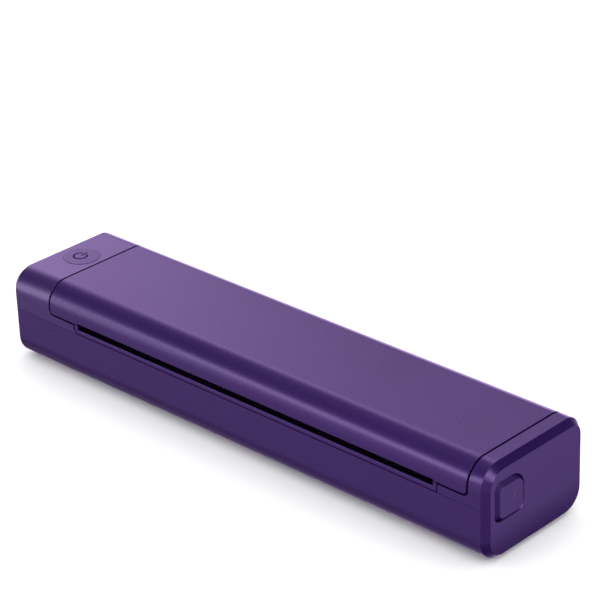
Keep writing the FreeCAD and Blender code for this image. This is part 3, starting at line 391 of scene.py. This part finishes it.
# ---------------------------------------------------------------------------
# power symbol: a thin printed ring with a bar
# ---------------------------------------------------------------------------
def power_symbol(cx, cy, z0, z1, r_in, r_out, gap, bar):
    """Ring open towards +Y, and a bar in the opening, as flat pads with rounded ends."""
    bm = bmesh.new()

    def pad(loop):
        bot = [bm.verts.new((px, py, z0)) for px, py in loop]
        top = [bm.verts.new((px, py, z1)) for px, py in loop]
        bm.faces.new(list(reversed(bot)))
        bm.faces.new(top)
        n = len(loop)
        for i in range(n):
            j = (i + 1) % n
            bm.faces.new((bot[i], bot[j], top[j], top[i]))

    rm, h = (r_in + r_out) / 2, (r_out - r_in) / 2
    a0 = math.pi / 2 + gap
    a1 = math.pi / 2 + 2 * math.pi - gap
    N = 72
    outer = [(cx + r_out * math.cos(a0 + (a1 - a0) * i / N), cy + r_out * math.sin(a0 + (a1 - a0) * i / N)) for i in range(N + 1)]
    inner = [(cx + r_in * math.cos(a0 + (a1 - a0) * i / N), cy + r_in * math.sin(a0 + (a1 - a0) * i / N)) for i in range(N + 1)]

    def cap(a, s):
        ex, ey = cx + rm * math.cos(a), cy + rm * math.sin(a)
        return [(ex + h * math.cos(a + s * math.pi * i / 8), ey + h * math.sin(a + s * math.pi * i / 8)) for i in range(1, 8)]

    # quads along the ring keep the flat faces clean
    ring = outer + cap(a1, 1) + list(reversed(inner)) + [q for q in reversed(cap(a0, -1))]
    pad(ring)
    y0, y1 = cy + bar[0], cy + bar[1]
    rod = [(cx + h * math.cos(-math.pi + math.pi * i / 8), y0 + h * math.sin(-math.pi + math.pi * i / 8)) for i in range(9)]
    rod += [(cx + h * math.cos(math.pi * i / 8), y1 + h * math.sin(math.pi * i / 8)) for i in range(9)]
    pad(rod)
    bmesh.ops.recalc_face_normals(bm, faces=bm.faces)
    me = bpy.data.meshes.new("power_symbol")
    bm.to_mesh(me)
    bm.free()
    return me


lo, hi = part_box("power_button")
bc = ((lo.x + hi.x) / 2, (lo.y + hi.y) / 2)
sym = bpy.data.objects.new("power_symbol", power_symbol(
    bc[0] - 0.7 * MM, bc[1] - 0.2 * MM, hi.z - 0.03 * MM, hi.z + 0.02 * MM, 2.75 * MM, 3.77 * MM, math.radians(34), (1.0 * MM, 4.1 * MM)))
scene.collection.objects.link(sym)
sym.data.materials.append(ink)
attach(sym, "power_key")

# ---------------------------------------------------------------------------
# stage: pale floor, soft dome, reflected softboxes, camera
# ---------------------------------------------------------------------------
bpy.ops.mesh.primitive_plane_add(size=14.0, location=(0, 0, 0))
floor = bpy.context.object
floor.name = "floor"
k = Mat("pale_floor")
k.put("Base Color", (0.93, 0.93, 0.93, 1.0))
k.put("Roughness", 1.0)
k.put("Specular IOR Level", 0.0)
floor.data.materials.append(k.m)
floor.visible_glossy = False

world = bpy.data.worlds.new("studio")
scene.world = world
world.use_nodes = True
wt = world.node_tree
wt.nodes.clear()
w_out = wt.nodes.new("ShaderNodeOutputWorld")
dome = wt.nodes.new("ShaderNodeBackground")
dome.inputs["Color"].default_value = (1.0, 1.0, 1.0, 1.0)
dome.inputs["Strength"].default_value = 1.50
cards = wt.nodes.new("ShaderNodeBackground")
path = wt.nodes.new("ShaderNodeLightPath")
blend = wt.nodes.new("ShaderNodeMixShader")
tc = wt.nodes.new("ShaderNodeTexCoord")
wt.links.new(path.outputs["Is Glossy Ray"], blend.inputs[0])
wt.links.new(dome.outputs[0], blend.inputs[1])
wt.links.new(cards.outputs[0], blend.inputs[2])
wt.links.new(blend.outputs[0], w_out.inputs["Surface"])

# softboxes as smooth caps on the sphere: azimuth from +X, elevation, inner and outer radius in degrees, strength, colour
COOL = (0.80, 0.58, 1.0)
PURE = (1.0, 1.0, 1.0)
CARDS = [
    (153, 27, 3.2, 21, 3.3, COOL),     # box behind on the left
    (126, 45, 3.0, 20, 3.4, COOL),     # its soft surround
    (224, 82, 8.4, 56, 1.1, COOL),     # weak overhead
    (244, 0, 8.2, 55, 1.6, COOL),      # pale wall in front on the left
    (215, -2, 1.7, 12, 7.6, PURE),     # slanted strip in front on the left
    (235, 15, 1.8, 12, 7.3, PURE),
    (341, 30, 3.4, 23, 9.2, PURE),     # box on the right of the camera
    (37, -19, 3.0, 21, 4.2, COOL),     # floor on the right
    (333, -12, 6.2, 41, 1.7, COOL),    # pale wall on the right of the camera
    (196, -66, 6.0, 40, 0.4, COOL),    # floor close in front
    (131, -9, 5.0, 36, 2.2, COOL),     # floor behind
    (118, -46, 6.0, 30, 0.8, COOL),
    (97, 0, 8.0, 38, 0.8, COOL),       # pale walls behind and on the far left
    (176, -4, 8.0, 36, 0.8, COOL),
]
total = None
for az, el, r0, r1, power, tint in CARDS:
    a, e = math.radians(az), math.radians(el)
    d = wt.nodes.new("ShaderNodeVectorMath")
    d.operation = "DOT_PRODUCT"
    wt.links.new(tc.outputs["Generated"], d.inputs[0])
    d.inputs[1].default_value = (math.cos(e) * math.cos(a), math.cos(e) * math.sin(a), math.sin(e))
    r = wt.nodes.new("ShaderNodeMapRange")
    r.interpolation_type = "SMOOTHSTEP"
    r.inputs[1].default_value = math.cos(math.radians(r1))
    r.inputs[2].default_value = math.cos(math.radians(r0))
    r.inputs[3].default_value = 0.0
    r.inputs[4].default_value = power
    wt.links.new(d.outputs["Value"], r.inputs[0])
    s = wt.nodes.new("ShaderNodeVectorMath")
    s.operation = "SCALE"
    s.inputs[0].default_value = tint
    wt.links.new(r.outputs[0], s.inputs["Scale"])
    if total is None:
        total = s.outputs[0]
    else:
        p = wt.nodes.new("ShaderNodeVectorMath")
        p.operation = "ADD"
        wt.links.new(total, p.inputs[0])
        wt.links.new(s.outputs[0], p.inputs[1])
        total = p.outputs[0]
wt.links.new(total, cards.inputs["Color"])
cards.inputs["Strength"].default_value = 1.0
world.cycles.sampling_method = "NONE"

cam = bpy.data.cameras.new("camera")
cam.sensor_width = 36.0
cam.lens = 147.05
cam.clip_start = 0.05
cam.clip_end = 50.0
cam_o = bpy.data.objects.new("camera", cam)
scene.collection.objects.link(cam_o)
right = Vector((0.72579490, 0.68715377, -0.03227176))
down = Vector((0.28593001, -0.34401248, -0.89437098))
ahead = Vector((-0.62567227, 0.63990243, -0.44616039))
rot = Matrix((right, -down, -ahead)).transposed()
cam_o.matrix_world = Matrix.Translation((0.689445, -0.69062, 0.55086)) @ rot.to_4x4()
scene.camera = cam_o

scene.view_settings.view_transform = "Standard"
scene.view_settings.look = "None"
scene.cycles.use_denoising = True

bpy.context.view_layer.update()
